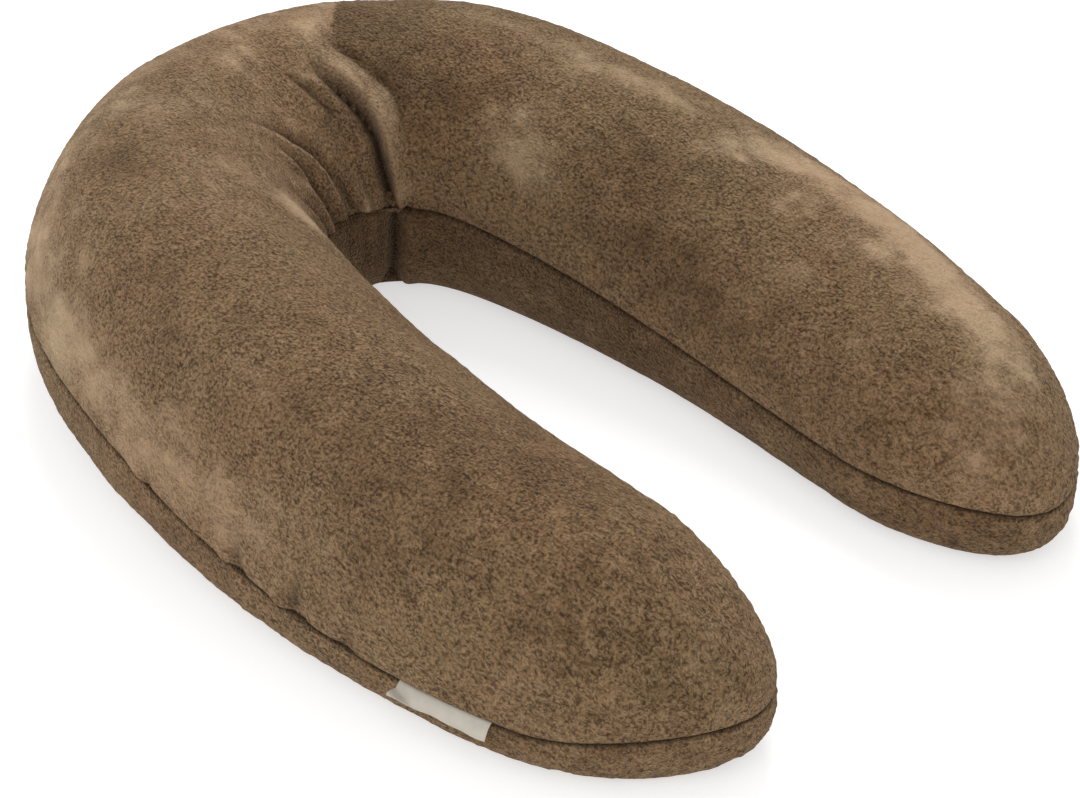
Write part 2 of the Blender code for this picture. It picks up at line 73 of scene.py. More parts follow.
# ---------------------------------------------------------------- form
def running_sum(values, step):
    return np.concatenate(([0.0], np.cumsum(0.5 * (values[1:] + values[:-1])) * step))


def middle_line():
    s = np.linspace(0.0, HALF_LENGTH, 2400)
    fall = np.clip((s - ARC_LENGTH) / BEND_EASE, 0.0, 1.0)
    arm, bend = 1.0 / ARM_RADIUS, 1.0 / BEND_RADIUS
    curvature = arm + (bend - arm) * 0.5 * (1.0 + np.cos(math.pi * fall))
    heading = running_sum(curvature, s[1])
    return s, heading, running_sum(np.cos(heading), s[1]), -running_sum(np.sin(heading), s[1])


LINE_S, LINE_HEADING, LINE_X, LINE_Y = middle_line()


def plan_point(s, offset):
    side = np.where(s < 0, -1.0, 1.0)
    heading = np.interp(abs(s), LINE_S, LINE_HEADING)
    x = np.interp(abs(s), LINE_S, LINE_X) + offset * np.sin(heading)
    y = np.interp(abs(s), LINE_S, LINE_Y) + offset * np.cos(heading)
    return side * x, y + MIDDLE_Y


def smooth(t):
    t = np.clip(t, 0.0, 1.0)
    return t * t * (3.0 - 2.0 * t)


def down_the_arm(s):
    return np.maximum((abs(s) - ARC_LENGTH) / (BODY_END - ARC_LENGTH), 0.0)


def along_arm(s, values):
    bend, tip, taper = values
    return bend + (tip - bend) * down_the_arm(s) ** taper


def seam_height(s, across):
    down = smooth(down_the_arm(s))
    tip = smooth((abs(s) - BODY_END) / TIP_LENGTH)
    outer = (SEAM_OUTER[0] + (SEAM_OUTER[1] - SEAM_OUTER[0]) * down) * (1.0 - tip) + SEAM_TIP * tip
    inner = (SEAM_INNER[0] + (SEAM_INNER[1] - SEAM_INNER[0]) * down) * (1.0 - tip) + SEAM_TIP * tip
    return outer * 0.5 * (1.0 + across) + inner * 0.5 * (1.0 - across)


def form_point(s, depth, across, upper, inset=0.0, drop=0.0, floor=0.0):
    """Point of a soft layer: row place s, depth into the tip (0 to 1) and place across."""
    side = np.where(s < 0, -1.0, 1.0)
    forward = depth * np.sqrt(1.0 - 0.5 * across ** 2)
    sideways = across * np.sqrt(1.0 - 0.5 * depth ** 2)
    radius = np.hypot(forward, sideways)
    spread = np.where(radius > 1e-9, np.sin(0.5 * math.pi * radius) / np.maximum(radius, 1e-9),
                      0.5 * math.pi)
    forward, sideways = forward * spread, sideways * spread
    place = s + side * (TIP_LENGTH - inset) * forward
    width = along_arm(place, HALF_WIDTHS)
    x, y = plan_point(place, (width - inset) * sideways)
    rise = np.clip(np.cos(0.5 * math.pi * radius), 0.0, 1.0)
    seam = seam_height(place, sideways)
    if upper:
        z = seam + (along_arm(place, HEIGHTS) - drop - seam) * rise ** CROWN
    else:
        z = seam - (seam - floor) * np.minimum(1.0, UNDERSIDE_SPREAD * np.sqrt(rise))
    rim = np.maximum(np.hypot(forward, sideways), 1e-6)
    foot = plan_point(s + side * TIP_LENGTH * forward / rim, width * sideways / rim)
    return {"co": np.stack((x, y, z), -1), "place": place, "sideways": sideways, "seam": seam,
            "to_seam": np.hypot(z - seam, width * (1.0 - rim)), "foot": np.stack((*foot, 0 * x), -1),
            "outer": sideways / rim}


# ---------------------------------------------------------------- noise in space, the same in every run
PRIMES = (374761393, 668265263, 1440662683)
SEED_PRIME, MIX_PRIME, LOW_BITS = 974634777, 1274126177, 0xFFFFFFFF


def lattice(cell, seed):
    """A number from -1 to 1 for each whole-numbered corner."""
    key = ((cell * PRIMES).sum(-1) + seed * SEED_PRIME) & LOW_BITS
    key = ((key ^ (key >> 13)) * MIX_PRIME) & LOW_BITS
    return ((key ^ (key >> 16)) & 0xFFFF) / 32767.5 - 1.0


def noise(points, size, seed):
    """Smooth noise from about -1 to 1 with lumps of the given size in metres."""
    place = points / size
    cell = np.floor(place).astype(np.int64)
    part = place - cell
    part = part * part * (3.0 - 2.0 * part)
    total = 0.0
    for corner in range(8):
        step = np.array([corner & 1, (corner >> 1) & 1, corner >> 2])
        weight = np.prod(np.where(step == 1, part, 1.0 - part), -1)
        total = total + weight * lattice(cell + step, seed)
    return total


# ---------------------------------------------------------------- folds
# Each fold: whether it is on top, its line in (s, across), the groove's depth and half width, the
# ridge's height, offset to the side of growing s, half width and lean over the groove, and "full":
# above 0, the share of the line over which the fold grows; below 0, the share after which it fades.
FOLDS = (
    (True, ((0.006, -0.19), (0.0181, -0.27), (0.0246, -0.325), (0.0357, -0.395), (0.0487, -0.47),
            (0.0645, -0.57), (0.0747, -0.67), (0.0795, -0.78), (0.0868, -0.895), (0.0950, -1.02)),
     0.0150, 0.0036, 0.0080, 0.0095, 0.0062, 0.0050, 0.50),
    (True, ((0.046, -0.12), (0.0500, -0.22), (0.0627, -0.295), (0.0747, -0.365), (0.0961, -0.455),
            (0.1100, -0.595), (0.1202, -0.71), (0.1277, -0.81)),
     0.0034, 0.0024, 0.0000, 0.0060, 0.0050, 0.0, -0.5),
    (True, ((0.000, -1.02), (-0.0181, -0.85), (-0.0311, -0.705), (-0.0487, -0.605), (-0.0701, -0.515),
            (-0.0915, -0.375), (-0.1082, -0.30), (-0.130, -0.24)),
     0.0052, 0.0026, 0.0034, -0.0070, 0.0045, 0.0, -0.45),
    (True, ((-0.030, -1.02), (-0.0525, -0.94), (-0.0710, -0.79), (-0.0822, -0.66), (-0.0924, -0.555),
            (-0.1045, -0.455), (-0.122, -0.37)), 0.0046, 0.0024, 0.0030, -0.0062, 0.0040, 0.0, -0.4),
    (True, ((-0.045, -1.02), (-0.0599, -0.93), (-0.0812, -0.815), (-0.0933, -0.71), (-0.1082, -0.615),
            (-0.1397, -0.50)), 0.0042, 0.0024, 0.0028, -0.0062, 0.0040, 0.0, -0.4),
    (True, ((-0.080, -0.97), (-0.1007, -0.865), (-0.1509, -0.70), (-0.1732, -0.565),
            (-0.1927, -0.42)), 0.0034, 0.0026, 0.0026, -0.0070, 0.0045, 0.0, -0.3),
    (True, ((0.022, -1.02), (0.0070, -0.935), (-0.0070, -0.825), (-0.0227, -0.72), (-0.040, -0.62)),
     0.0040, 0.0024, 0.0026, -0.0058, 0.0038, 0.0, -0.3),
    (True, ((0.052, -1.02), (0.044, -0.92), (0.032, -0.80), (0.024, -0.70)),
     0.0026, 0.0024, 0.0016, -0.0055, 0.0035, 0.0, -0.3),
    (True, ((0.004, -0.40), (-0.0051, -0.335), (-0.0107, -0.29), (-0.020, -0.23)),
     0.0034, 0.0020, 0.0012, 0.0050, 0.0035, 0.0, -0.3),
    (True, ((0.014, -0.50), (0.0070, -0.45), (-0.0014, -0.37), (-0.010, -0.30)),
     0.0036, 0.0020, 0.0014, 0.0050, 0.0035, 0.0, -0.3),
    (True, ((-0.452, 1.02), (-0.448, 0.92), (-0.452, 0.74)),
     0.0052, 0.0042, 0.0028, 0.0100, 0.0070, 0.0, -0.3),
    (True, ((-0.408, 1.02), (-0.404, 0.92), (-0.408, 0.80)),
     0.0036, 0.0042, 0.0022, 0.0100, 0.0070, 0.0, -0.3),
    (True, ((-0.484, 1.02), (-0.486, 0.93), (-0.492, 0.84)),
     0.0030, 0.0036, 0.0014, 0.0080, 0.0050, 0.0, -0.3),
    (True, ((-0.330, 1.02), (-0.327, 0.94), (-0.330, 0.86)),
     0.0022, 0.0040, 0.0012, 0.0100, 0.0060, 0.0, -0.3),
    (False, ((0.095, -1.02), (0.0945, -0.92), (0.094, -0.82), (0.093, -0.70), (0.092, -0.60)),
     0.0110, 0.0046, 0.0024, 0.0110, 0.0070, 0.0020, -0.9),
    (False, ((0.065, -1.02), (0.064, -0.90), (0.062, -0.78)),
     0.0018, 0.0040, 0.0010, 0.0080, 0.0050, 0.0, -0.4),
    (False, ((0.030, -1.02), (0.030, -0.90), (0.028, -0.76)),
     0.0016, 0.0040, 0.0008, 0.0080, 0.0050, 0.0, -0.4),
    (False, ((-0.010, -1.02), (-0.010, -0.90), (-0.012, -0.80)),
     0.0016, 0.0040, 0.0008, 0.0080, 0.0050, 0.0, -0.4),
)
# Wide soft dents and swellings of the top: (s, across, length along, length across, amount out).
DENTS = (
    (0.030, -0.74, 0.036, 0.032, -0.0050), (0.000, -0.62, 0.050, 0.030, -0.0020),
    (0.150, -0.70, 0.040, 0.040, 0.0030), (-0.430, 0.72, 0.060, 0.026, -0.0020),
    (0.100, 0.10, 0.040, 0.060, -0.0015), (-0.560, -0.20, 0.060, 0.050, 0.0015),
)


def place_across(point):
    return np.arcsin(np.clip(point["sideways"], -1, 1)) / (0.5 * math.pi)


def dents_at(point):
    across = place_across(point)
    total = 0.0
    for at_s, at_across, long, wide, amount in DENTS:
        total = total + amount * np.exp(-((point["place"] - at_s) / long) ** 2
                                        - ((across - at_across) * HALF_GIRTH / wide) ** 2)
    return total


# DARK_DEPTH is the groove depth at which a fold's painted shade is full, FULL_RIDGE the ridge height at which
# its painted highlight is full.
END_FADE, DARK_DEPTH, FULL_RIDGE = 0.006, 0.006, 0.0080


def fold_line(line, upper):
    """The fold's line as close points in space, with the way along and the surface normal at each."""
    knots = np.array(line)
    t = np.linspace(0.0, 1.0, 160)
    at = np.linspace(0.0, 1.0, len(knots))
    s = np.interp(t, at, knots[:, 0])
    across = np.interp(t, at, knots[:, 1])
    for _ in range(3):
        s[1:-1] = 0.25 * s[:-2] + 0.5 * s[1:-1] + 0.25 * s[2:]
        across[1:-1] = 0.25 * across[:-2] + 0.5 * across[1:-1] + 0.25 * across[2:]
    across = np.clip(across, -1.0, 1.0)

    def co(ds, da):
        return form_point(s + ds, 0 * s, np.clip(across + da, -1.0, 1.0), upper)["co"]

    along = np.gradient(co(0.0, 0.0), axis=0)
    along /= np.linalg.norm(along, axis=1)[:, None] + 1e-12
    tilt = 0.02 * np.where(across > 0, -1.0, 1.0)
    sideways = (co(0.0, tilt) - co(0.0, 0.0)) * np.sign(tilt)[:, None]
    normal = np.cross(co(0.002, 0.0) - co(-0.002, 0.0), sideways) * (1.0 if upper else -1.0)
    normal /= np.linalg.norm(normal, axis=1)[:, None] + 1e-12
    return t, co(0.0, 0.0), along, normal


def fold_moves(co, upper):
    """How far each point moves out or in, how it leans, its painted shade from the depth of a fold's groove,
    its painted highlight from the height of a ridge.
    """
    out = np.zeros(len(co))
    lean = np.zeros_like(co)
    crease = np.zeros(len(co))
    painted_ridge_highlight = np.zeros(len(co))
    for on_top, line, depth, width, ridge, ridge_at, ridge_width, ridge_lean, full in FOLDS:
        if on_top != upper:
            continue
        t, points, along, normal = fold_line(line, upper)
        low, high = points.min(0) - 0.05, points.max(0) + 0.05
        near = np.nonzero(((co > low) & (co < high)).all(1))[0]
        if not len(near):
            continue
        gap = co[near, None, :] - points[None]
        nearest = np.argmin((gap ** 2).sum(2), axis=1)
        gap = gap[np.arange(len(near)), nearest]
        way = along[nearest]
        beside = np.cross(way, normal[nearest])
        beside *= np.sign((beside * along_s_at(points[nearest])).sum(1))[:, None]
        across = (gap * beside).sum(1)
        past = np.abs((gap * way).sum(1))
        at = t[nearest]
        if full > 0:
            grow = smooth(at / full)
        else:
            grow = 1.0 - smooth((at + full) / (1.0 + full)) if full > -1 else 1.0
        grow = grow * np.exp(-(past / END_FADE) ** 2)
        groove = np.exp(1.0 - np.sqrt(1.0 + (across / width) ** 2)) * np.exp(-(across / (3.2 * width)) ** 2)
        crest = np.exp(-((across - ridge_at) / ridge_width) ** 2)
        back = np.exp(-((across + 1.5 * ridge_at) / (1.6 * ridge_width)) ** 2)
        out[near] += grow * (ridge * crest + 0.35 * ridge * back - depth * groove)
        lean[near] -= (grow * ridge_lean * crest)[:, None] * beside
        # Painted shade along the groove, fuller the deeper it is, and painted highlight on the ridge's crest.
        shade = grow * np.exp(-(across / (0.8 * width)) ** 2) * min(1.0, depth / DARK_DEPTH)
        crease[near] = np.maximum(crease[near], shade)
        painted_ridge_highlight[near] += grow * ridge / FULL_RIDGE * crest
    return out, lean, crease, painted_ridge_highlight


def along_s_at(points):
    """Direction of growing s at points on the pillow, level."""
    table = np.linspace(-HALF_LENGTH, HALF_LENGTH, 1400)
    x, y = plan_point(table, 0 * table)
    gap = (points[:, None, 0] - x[None]) ** 2 + (points[:, None, 1] - y[None]) ** 2
    k = np.clip(np.argmin(gap, axis=1), 1, len(table) - 2)
    way = np.stack((x[k + 1] - x[k - 1], y[k + 1] - y[k - 1], 0 * x[k]), -1)
    return way / np.linalg.norm(way, axis=1)[:, None]


# ---------------------------------------------------------------- nap, partly painted sheen and painted shade
# Soft spots where the pile looks lighter or darker, partly from how it lies, partly painted sheen and painted
# shade: (s, across, length along, length across, amount).
NAP_AND_PAINTED_LIGHT_SPOTS = (
    (0.255, -0.58, 0.034, 0.028, 0.60), (0.19, 0.02, 0.060, 0.012, 0.45),
    (0.25, -0.06, 0.030, 0.012, 0.35), (0.31, 0.02, 0.050, 0.014, 0.40),
    (0.37, -0.14, 0.018, 0.012, 0.40), (0.395, 0.04, 0.030, 0.018, 0.48),
    (0.430, 0.16, 0.040, 0.024, 0.58), (0.484, 0.17, 0.042, 0.026, 0.60),
    (0.525, 0.18, 0.036, 0.028, 0.62), (0.560, 0.12, 0.030, 0.026, 0.62),
    (0.600, 0.05, 0.026, 0.024, 0.58), (0.625, 0.09, 0.022, 0.024, 0.48),
    (0.48, -0.40, 0.024, 0.014, 0.25), (0.655, -0.05, 0.030, 0.030, 0.30),
    (0.66, -0.40, 0.024, 0.040, 0.35), (0.215, -0.45, 0.008, 0.008, 0.50),
    (0.24, -0.40, 0.008, 0.008, 0.50), (-0.33, 0.80, 0.130, 0.026, 0.42),
    (-0.20, -0.30, 0.050, 0.040, 0.25), (-0.07, 0.40, 0.100, 0.090, 0.34),
    (0.00, 0.60, 0.060, 0.080, 0.18), (-0.222, -0.49, 0.018, 0.013, 0.60),
    (-0.248, -0.54, 0.022, 0.013, 0.55), (-0.20, 0.75, 0.100, 0.040, 0.30),
    (-0.62, -0.45, 0.050, 0.030, 0.20), (0.040, -0.96, 0.020, 0.014, 0.45),
    (0.15, -0.45, 0.040, 0.040, -0.25), (0.42, -0.72, 0.120, 0.026, -0.35),
    (0.34, -0.35, 0.040, 0.030, -0.25), (-0.50, 0.15, 0.080, 0.060, -0.18),
    (0.06, -0.80, 0.022, 0.026, -0.30), (0.030, -0.55, 0.024, 0.030, -0.20),
    (0.12, 0.60, 0.040, 0.050, -0.25), (-0.60, 0.55, 0.040, 0.030, -0.20),
    (-0.30, 0.45, 0.050, 0.030, -0.15), (-0.160, 0.30, 0.022, 0.016, -0.40),
    (-0.175, 0.16, 0.020, 0.014, -0.40), (-0.075, 0.10, 0.022, 0.014, -0.40),
)
# The pile changes sides along this line over the top: (across, s).
NAP_EDGE = ((-0.81, 0.128), (-0.71, 0.120), (-0.595, 0.110), (-0.455, 0.096), (-0.295, 0.063), (-0.22, 0.051),
            (-0.10, 0.053), (0.095, 0.066), (0.40, 0.074), (1.0, 0.060))


def nap_and_painted_light_at(point, upper):
    """Pile direction as light (positive) or dark, from the soft spots and wide noise; partly painted sheen
    and painted shade, such as on the lower panel.
    """
    s, across = point["place"], place_across(point)
    total = 0.10 * noise(point["co"], 0.075, 11) + 0.11 * noise(point["co"], 0.030, 12)
    total += 0.11 * noise(point["co"], 0.013, 13)
    if upper:
        ragged = 1.0 + 0.55 * noise(point["co"], 0.020, 14) + 0.30 * noise(point["co"], 0.007, 15)
        for at_s, at_across, long, wide, amount in NAP_AND_PAINTED_LIGHT_SPOTS:
            away = ((s - at_s) / long) ** 2 + ((across - at_across) * HALF_GIRTH / wide) ** 2
            total += amount * np.exp(-away * ragged)
        edge_across, edge_s = np.array(NAP_EDGE).T
        past = s - np.interp(across, edge_across, edge_s) + 0.003 * noise(point["co"], 0.008, 16)
        turned = smooth(0.5 + past / 0.006)
        reach_in = np.exp(-np.abs(past) * ragged / np.where(past > 0, 0.060, 0.050))
        fade = smooth((across + 0.75) / 0.35) * (1.0 - 0.85 * smooth((across - 0.1) / 0.5))
        total += fade * reach_in * (0.45 - 0.90 * turned)
    else:
        # Painted shade over the lower panel, most on its inner wall, less of it there towards the tips.
        inner_wall_shade = smooth(0.5 - 2.0 * point["sideways"])
        total -= 0.12 + inner_wall_shade * (0.34 - 0.20 * smooth((abs(s) - 0.35) / 0.25))
    return total


# ---------------------------------------------------------------- meshes
def spaced(count, tighter):
    """Places from -1 to 1, closer together towards both ends."""
    c = np.linspace(-1.0, 1.0, 2 * count + 1)
    if tighter == "edge":
        return np.sign(c) * (1.0 - (1.0 - abs(c)) ** 2)
    return c + 0.12 * np.sin(math.pi * c)


def grid_rows(spacing, upper):
    """Rows (s, depth) from one tip's end to the other."""
    tip_count = max(6, round(TIP_LENGTH * 1.6 / spacing))
    depth = spaced(tip_count, "even" if upper else "edge")[tip_count + 1:]
    body = np.linspace(-BODY_END, BODY_END, max(12, round(2 * BODY_END / spacing)) + 1)
    s = np.concatenate((np.full(tip_count, -BODY_END), body, np.full(tip_count, BODY_END)))
    return s, np.concatenate((depth[::-1], 0 * body, depth))


def rim_of(rows, columns):
    """Vertex numbers round a grid's border, in order."""
    last = (rows - 1) * columns
    return np.concatenate((np.arange(columns), np.arange(1, rows) * columns + columns - 1,
                           last + np.arange(columns - 2, -1, -1), np.arange(rows - 2, 0, -1) * columns))


def zip_share(point, layer):
    """1 where the zip runs in the outer seam, 0 away from it, easing over the zip's ends."""
    angle = np.degrees(abs(point["place"]) / BEND_RADIUS)
    share = 1.0 - smooth((angle - layer["zip_angle"] - 0.5) / 4.5)
    return share * (point["outer"] > 0)


COVER = {"inset": 0.0, "drop": 0.0, "floor": 0.0, "hem": 0.0090, "zip_angle": 42.0}
LINER = {"inset": LINER_INSET, "drop": COVER_SKIN + 0.0020, "floor": COVER_SKIN + 0.0003, "hem": 0.0060,
         "zip_angle": 18.0}
FILLING = {"inset": FILL_INSET, "drop": COVER_SKIN + 0.0035, "floor": COVER_SKIN + LINER_SKIN + 0.0006,
           "hem": 0.0, "zip_angle": 0.0}


def layer_point(s, depth, across, upper, layer, extra=0.0):
    return form_point(s, depth, across, upper, layer["inset"] + extra, layer["drop"] + extra,
                      layer["floor"] + extra)


def quads_of(rows, columns, flip):
    first = (np.arange(rows - 1)[:, None] * columns + np.arange(columns - 1)[None]).ravel()
    quads = np.stack((first, first + columns, first + columns + 1, first + 1), -1)
    return quads[:, ::-1] if flip else quads


def normals_of(co, faces):
    mesh = bpy.data.meshes.new("scratch")
    mesh.from_pydata(co.tolist(), [], faces.tolist())
    normals = np.empty(len(co) * 3)
    mesh.vertex_normals.foreach_get("vector", normals)
    bpy.data.meshes.remove(mesh)
    return normals.reshape(-1, 3)


def open_for_zip(point, layer, upper, z, plain):
    """Lifts a panel's edge off the seam: a hair's breadth, or half the slot where the zip runs."""
    share = zip_share(point, layer) if layer["zip_angle"] else 0.0
    lift = (0.5 * plain + (0.5 * (ZIP_SLOT - plain) + 0.0002) * share)
    side = 1.0 if upper else -1.0
    part = np.clip(side * (z - point["seam"]) / 0.020, 0.0, 1.0)
    return z + side * lift * (1.0 - part) ** 2, share


def soft_panel(layer, upper, spacing, columns, shape):
    """One panel's face with its turned-in edges, as (points, faces, facts at points).

    shape["move"] shapes it, shape["extra"] insets it, and shape["rings"] lists the turned-in edge's
    rings as (inset at the seam, inset at the zip, height off the seam).
    """
    s_rows, depth_rows = grid_rows(spacing, upper)
    across = spaced(columns, "even" if upper else "edge")
    rows, cols = len(s_rows), len(across)
    s, a = (m.ravel() for m in np.meshgrid(s_rows, across, indexing="ij"))
    d = np.repeat(depth_rows, cols)
    point = layer_point(s, d, a, upper, layer, shape.get("extra", 0.0))
    faces = quads_of(rows, cols, not upper)
    co = point["co"].copy()
    normals = normals_of(co, faces)
    rim = rim_of(rows, cols)
    level = normals[rim] * (1, 1, 0)
    normals[rim] = level / (np.linalg.norm(level, axis=1)[:, None] + 1e-9)
    co, facts = shape["move"](point, co, normals, upper, layer)
    rings = shape.get("rings", ())
    if rings:
        loops = [rim]
        extra = []
        hem = zip_share({k: v[rim] for k, v in point.items() if k != "co"}, layer)
        seam = layer_point(s[rim], d[rim], a[rim], upper, layer)["seam"]
        lift = 0.5 * SEAM_GAP + (0.5 * (ZIP_SLOT - SEAM_GAP) + 0.0002) * hem
        for plain_inset, zip_inset, height in rings:
            inset = plain_inset * (1.0 - hem) + zip_inset * hem
            spot = form_point(s[rim], d[rim], a[rim], upper, layer["inset"] + inset)["co"]
            spot[:, 2] = seam + (1.0 if upper else -1.0) * (lift + height)
            extra.append(spot)
            loops.append(len(co) + sum(len(e) for e in extra[:-1]) + np.arange(len(rim)))
        for one, two in zip(loops[:-1], loops[1:]):
            band = np.stack((one, np.roll(one, -1), np.roll(two, -1), two), -1)
            faces = np.concatenate((faces, band if upper else band[:, ::-1]))
        co = np.concatenate([co] + extra)
        facts = {name: np.concatenate([value] + [value[rim]] * len(extra))
                 for name, value in facts.items()}
        # The turned-in edges, down in the seam, are given full painted shade.
        if "crease" in facts:
            facts["crease"][-len(extra) * len(rim):] = 1.0
    return co, faces, facts


def cover_moves(point, co, normals, upper, layer):
    """Seam groove, puckers, lumps, folds and tufts of the plush."""
    co = co.copy()
    co[:, 2], share = open_for_zip(point, layer, upper, co[:, 2], SEAM_GAP)
    to_seam = point["to_seam"]
    out, lean, crease, painted_ridge_highlight = fold_moves(point["co"], upper)
    out = out + (dents_at(point) if upper else 0.0)
    deep = 0.0016 * (1.0 - share) + 0.0012 * share
    groove = np.clip(1.0 - to_seam / 0.0042, 0.0, 1.0) ** 2
    puff = np.exp(-((to_seam - 0.016) / 0.011) ** 2)
    seed = 20 if upper else 40
    back = np.exp(-((point["place"] - 0.03) / 0.09) ** 2) * (point["outer"] < 0)
    deep = deep * (1.0 - 0.85 * back)
    run = noise(point["foot"], 0.017, seed) + 0.6 * noise(point["foot"], 0.0085, seed + 1)
    pucker = run * np.exp(-to_seam / 0.020) * np.clip(to_seam / 0.004, 0.15, 1.0)
    calm = 1.0 - 0.8 * share * np.exp(-to_seam / 0.012)
    lumps = 0.0014 * noise(point["co"], 0.085, seed + 2) + 0.0007 * noise(point["co"], 0.038, seed + 3)
    resting = 1.0 if upper else np.clip(point["co"][:, 2] / 0.012, 0.0, 1.0)
    away = np.clip(to_seam / 0.010, 0.0, 1.0)
    move = (out * calm + calm * 0.0010 * pucker + away * lumps * resting + 0.0004 * puff * resting
            - deep * groove)
    co += normals * move[:, None] + lean
    shag = smooth((abs(point["place"]) - 0.50) / 0.13) + 0.25 * noise(point["co"], 0.060, 17)
    clump = noise(point["co"], 0.0042, seed + 4) + 0.6 * noise(point["co"], 0.0024, seed + 5)
    tall = 0.00040 * (1.0 + 0.9 * np.clip(shag, 0.0, 1.0))
    co += normals * (tall * clump * calm * np.clip(to_seam / 0.003, 0.25, 1.0) * resting)[:, None]
    if not upper:
        co[:, 2] = np.maximum(co[:, 2], layer["floor"])
    # The fold ridges' painted highlight lightens the nap.
    nap = nap_and_painted_light_at(point, upper) + 0.32 * painted_ridge_highlight
    # Painted shade in the seam's groove, weaker by the zip and at the back of the bend where the groove is
    # shallower; it joins the folds' painted shade.
    seam_dark = 0.75 * np.exp(-(to_seam / 0.0013) ** 2) * (1.0 - 0.5 * share) * (1.0 - 0.85 * back)
    dark = np.maximum(crease, seam_dark)
    return co, {"nap": nap, "crease": dark, "shag": np.clip(shag, 0.0, 1.0)}


def inside_moves(point, co, normals, upper, layer):
    """The same folds on whatever lies under the plush."""
    co = co.copy()
    co[:, 2], _ = open_for_zip(point, layer, upper, co[:, 2], SEAM_GAP if layer["hem"] else 0.0)
    out = fold_moves(point["co"], upper)[0]
    out = out + (dents_at(point) if upper else 0.0)
    to_seam = point["to_seam"]
    fade = smooth(to_seam / 0.010)
    co += normals * (fade * np.minimum(out, 0.0))[:, None]
    co[:, 2] = np.maximum(co[:, 2], layer["floor"])
    return co, {}


def new_piece(name, co, faces, facts, material):
    mesh = bpy.data.meshes.new(name)
    mesh.from_pydata(co.tolist(), [], faces.tolist())
    for fact, value in facts.items():
        kind = "FLOAT_VECTOR" if value.ndim == 2 else "FLOAT"
        layer = mesh.attributes.new(fact, kind, "POINT")
        layer.data.foreach_set("vector" if value.ndim == 2 else "value", value.astype(np.float32).ravel())
    mesh.shade_smooth()
    mesh.materials.append(material)
    item = bpy.data.objects.new(name, mesh)
    bpy.context.scene.collection.objects.link(item)
    return item


def joined(parts):
    """Several (points, faces, facts) as one."""
    start, cos, faces, facts = 0, [], [], {}
    names = parts[0][2].keys()
    for co, quads, own in parts:
        cos.append(co)
        faces.append(quads + start)
        start += len(co)
        for fact in names:
            first = parts[0][2][fact]
            value = own.get(fact)
            if value is None:
                value = np.zeros((len(co),) + first.shape[1:])
            facts.setdefault(fact, []).append(value)
    return np.concatenate(cos), np.concatenate(faces), {k: np.concatenate(v) for k, v in facts.items()}


def cover_panel(name, upper, material):
    outer = soft_panel(COVER, upper, 0.0018 * FINE, round((100 if upper else 74) / FINE),
                       {"move": cover_moves, "rings": ((0.0052, 0.0028, 0.0), (0.0070, 0.0036, 0.0),
                                                       (COVER["hem"], ZIP_HEM, 0.0))})
    lining = soft_panel(COVER, upper, 0.0080, 22, {"move": inside_moves, "extra": COVER_SKIN,
                        "rings": ((0.0055, 0.0038, COVER_SKIN), (COVER["hem"], ZIP_HEM, COVER_SKIN),
                                  (COVER["hem"], ZIP_HEM, 0.0))})
    lining = (lining[0], lining[1][:, ::-1], {})
    return new_piece(name, *joined([outer, lining]), material)


def liner_panel(name, upper, material):
    hem = LINER["hem"]
    rings = ((0.4 * hem, 0.4 * ZIP_HEM, 0.0), (hem, ZIP_HEM, 0.0))
    outer = soft_panel(LINER, upper, 0.0060, 30, {"move": inside_moves, "rings": rings})
    piece = new_piece(name, *outer, material)
    skin = piece.modifiers.new("skin", "SOLIDIFY")
    skin.thickness, skin.offset = LINER_SKIN, -1.0
    return piece


def filling(name, material):
    halves = [soft_panel(FILLING, upper, 0.0060, 30, {"move": inside_moves}) for upper in (True, False)]
    return new_piece(name, *joined(halves), material)


# ---------------------------------------------------------------- materials
def new_material(name):
    material = bpy.data.materials.new(name)
    material.use_nodes = True
    tree = material.node_tree
    return material, tree, tree.nodes["Principled BSDF"]


def add(tree, kind, inputs=None, **settings):
    item = tree.nodes.new(kind)
    for key, value in settings.items():
        setattr(item, key, value)
    for key, value in (inputs or {}).items():
        if isinstance(value, bpy.types.NodeSocket):
            tree.links.new(value, item.inputs[key])
        else:
            item.inputs[key].default_value = value
    return item


def noise_node(tree, vector, scale, detail):
    inputs = {"Vector": vector, "Scale": scale, "Detail": detail}
    return add(tree, "ShaderNodeTexNoise", inputs).outputs["Fac"]


def maths(tree, operation, one, two=0.5, three=0.5, clamp=False):
    inputs = {0: one, 1: two, 2: three}
    return add(tree, "ShaderNodeMath", inputs, operation=operation, use_clamp=clamp).outputs[0]


def mix(tree, share, one, two, blend="MIX"):
    inputs = {0: share, 6: one, 7: two}
    return add(tree, "ShaderNodeMix", inputs, data_type="RGBA", blend_type=blend).outputs[2]


def ranged(tree, value, low, high, to_low=0.0, to_high=1.0, kind="LINEAR"):
    return add(tree, "ShaderNodeMapRange", {"Value": value, "From Min": low, "From Max": high,
                                            "To Min": to_low,
                                            "To Max": to_high}, interpolation_type=kind).outputs[0]


def srgb(red, green, blue):
    def one(c):
        c /= 255.0
        return c / 12.92 if c <= 0.04045 else ((c + 0.055) / 1.055) ** 2.4
    return one(red), one(green), one(blue), 1.0


def object_place(tree):
    return add(tree, "ShaderNodeTexCoord").outputs["Object"]


